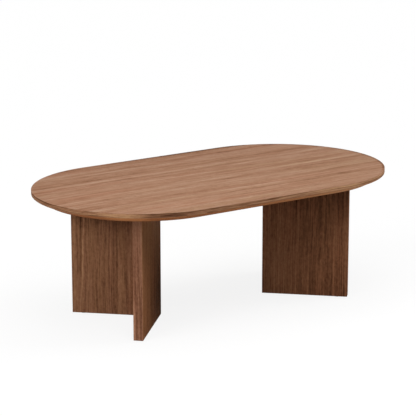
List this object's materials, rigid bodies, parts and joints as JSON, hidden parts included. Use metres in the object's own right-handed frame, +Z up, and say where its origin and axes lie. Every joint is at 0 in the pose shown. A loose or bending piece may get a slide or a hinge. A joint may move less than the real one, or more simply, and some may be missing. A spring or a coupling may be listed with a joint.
{
  "type": "oval coffee table",
  "caption": "Low walnut-veneered coffee table: stadium-shaped top with a bevelled edge on V-shaped legs of mitred upright panels, with screw-out levelling glides.",
  "frame": {"origin": "on the floor under the middle of the top, with the glides screwed home", "axes": "+X along the top's long axis, +Y from the front side to the rear side, +Z up"},
  "size_m": [1.15, 0.65, 0.4],
  "materials": {
    "walnut_veneer": "satin lacquer",
    "walnut_solid": "satin lacquer",
    "board": "sanded fibreboard",
    "beech": "fluted, unfinished",
    "black_steel": "matt powder coat",
    "zinc_steel": "zinc plated",
    "nylon": "moulded"
  },
  "bodies": {
    "table": {"top_core": "board", "top_face_veneer": "walnut_veneer", "top_underside_veneer": "walnut_veneer", "lipping_front": "walnut_solid", "lipping_rear": "walnut_solid", "lipping_left_front": "walnut_solid", "lipping_left_middle": "walnut_solid", "lipping_left_rear": "walnut_solid", "lipping_right_front": "walnut_solid", "lipping_right_middle": "walnut_solid", "lipping_right_rear": "walnut_solid", "left_front_panel_core": "board", "left_front_outer_veneer": "walnut_veneer", "left_front_inner_veneer": "walnut_veneer", "left_front_end_lipping": "walnut_solid", "left_rear_panel_core": "board", "left_rear_outer_veneer": "walnut_veneer", "left_rear_inner_veneer": "walnut_veneer", "left_rear_end_lipping": "walnut_solid", "right_front_panel_core": "board", "right_front_outer_veneer": "walnut_veneer", "right_front_inner_veneer": "walnut_veneer", "right_front_end_lipping": "walnut_solid", "right_rear_panel_core": "board", "right_rear_outer_veneer": "walnut_veneer", "right_rear_inner_veneer": "walnut_veneer", "right_rear_end_lipping": "walnut_solid", "left_mitre_dowels": "beech", "left_mounting_plate": "black_steel", "left_plate_screws": "zinc_steel", "left_plate_bolts": "zinc_steel", "left_bolt_washers": "zinc_steel", "left_top_inserts": "zinc_steel", "left_glide_sleeves": "zinc_steel", "right_mitre_dowels": "beech", "right_mounting_plate": "black_steel", "right_plate_screws": "zinc_steel", "right_plate_bolts": "zinc_steel", "right_bolt_washers": "zinc_steel", "right_top_inserts": "zinc_steel", "right_glide_sleeves": "zinc_steel"},
    "left_front_foot": {"left_front_glide_foot": "nylon"},
    "left_front_stem": {"left_front_glide_stem": "zinc_steel"},
    "left_rear_foot": {"left_rear_glide_foot": "nylon"},
    "left_rear_stem": {"left_rear_glide_stem": "zinc_steel"},
    "right_front_foot": {"right_front_glide_foot": "nylon"},
    "right_front_stem": {"right_front_glide_stem": "zinc_steel"},
    "right_rear_foot": {"right_rear_glide_foot": "nylon"},
    "right_rear_stem": {"right_rear_glide_stem": "zinc_steel"}
  },
  "joints": [
    {"name": "left_front_foot_slide", "type": "slide", "parent": "table", "child": "left_front_foot", "axis": [0, 0, -1], "range_m": [0, 0.006]},
    {"name": "left_front_stem_turn", "type": "hinge", "parent": "left_front_foot", "child": "left_front_stem", "pos_m": [-0.36366, -0.15486, 0.015], "axis": [0, 0, -1], "range_deg": [0, 2160]},
    {"name": "left_rear_foot_slide", "type": "slide", "parent": "table", "child": "left_rear_foot", "axis": [0, 0, -1], "range_m": [0, 0.006]},
    {"name": "left_rear_stem_turn", "type": "hinge", "parent": "left_rear_foot", "child": "left_rear_stem", "pos_m": [-0.36366, 0.15486, 0.015], "axis": [0, 0, -1], "range_deg": [0, 2160]},
    {"name": "right_front_foot_slide", "type": "slide", "parent": "table", "child": "right_front_foot", "axis": [0, 0, -1], "range_m": [0, 0.006]},
    {"name": "right_front_stem_turn", "type": "hinge", "parent": "right_front_foot", "child": "right_front_stem", "pos_m": [0.36366, -0.15486, 0.015], "axis": [0, 0, -1], "range_deg": [0, 2160]},
    {"name": "right_rear_foot_slide", "type": "slide", "parent": "table", "child": "right_rear_foot", "axis": [0, 0, -1], "range_m": [0, 0.006]},
    {"name": "right_rear_stem_turn", "type": "hinge", "parent": "right_rear_foot", "child": "right_rear_stem", "pos_m": [0.36366, 0.15486, 0.015], "axis": [0, 0, -1], "range_deg": [0, 2160]}
  ],
  "couplings": [
    {"joint": "left_front_foot_slide", "follows": "left_front_stem_turn", "m_per_rad": 0.00015915},
    {"joint": "left_rear_foot_slide", "follows": "left_rear_stem_turn", "m_per_rad": 0.00015915},
    {"joint": "right_front_foot_slide", "follows": "right_front_stem_turn", "m_per_rad": 0.00015915},
    {"joint": "right_rear_foot_slide", "follows": "right_rear_stem_turn", "m_per_rad": 0.00015915}
  ]
}
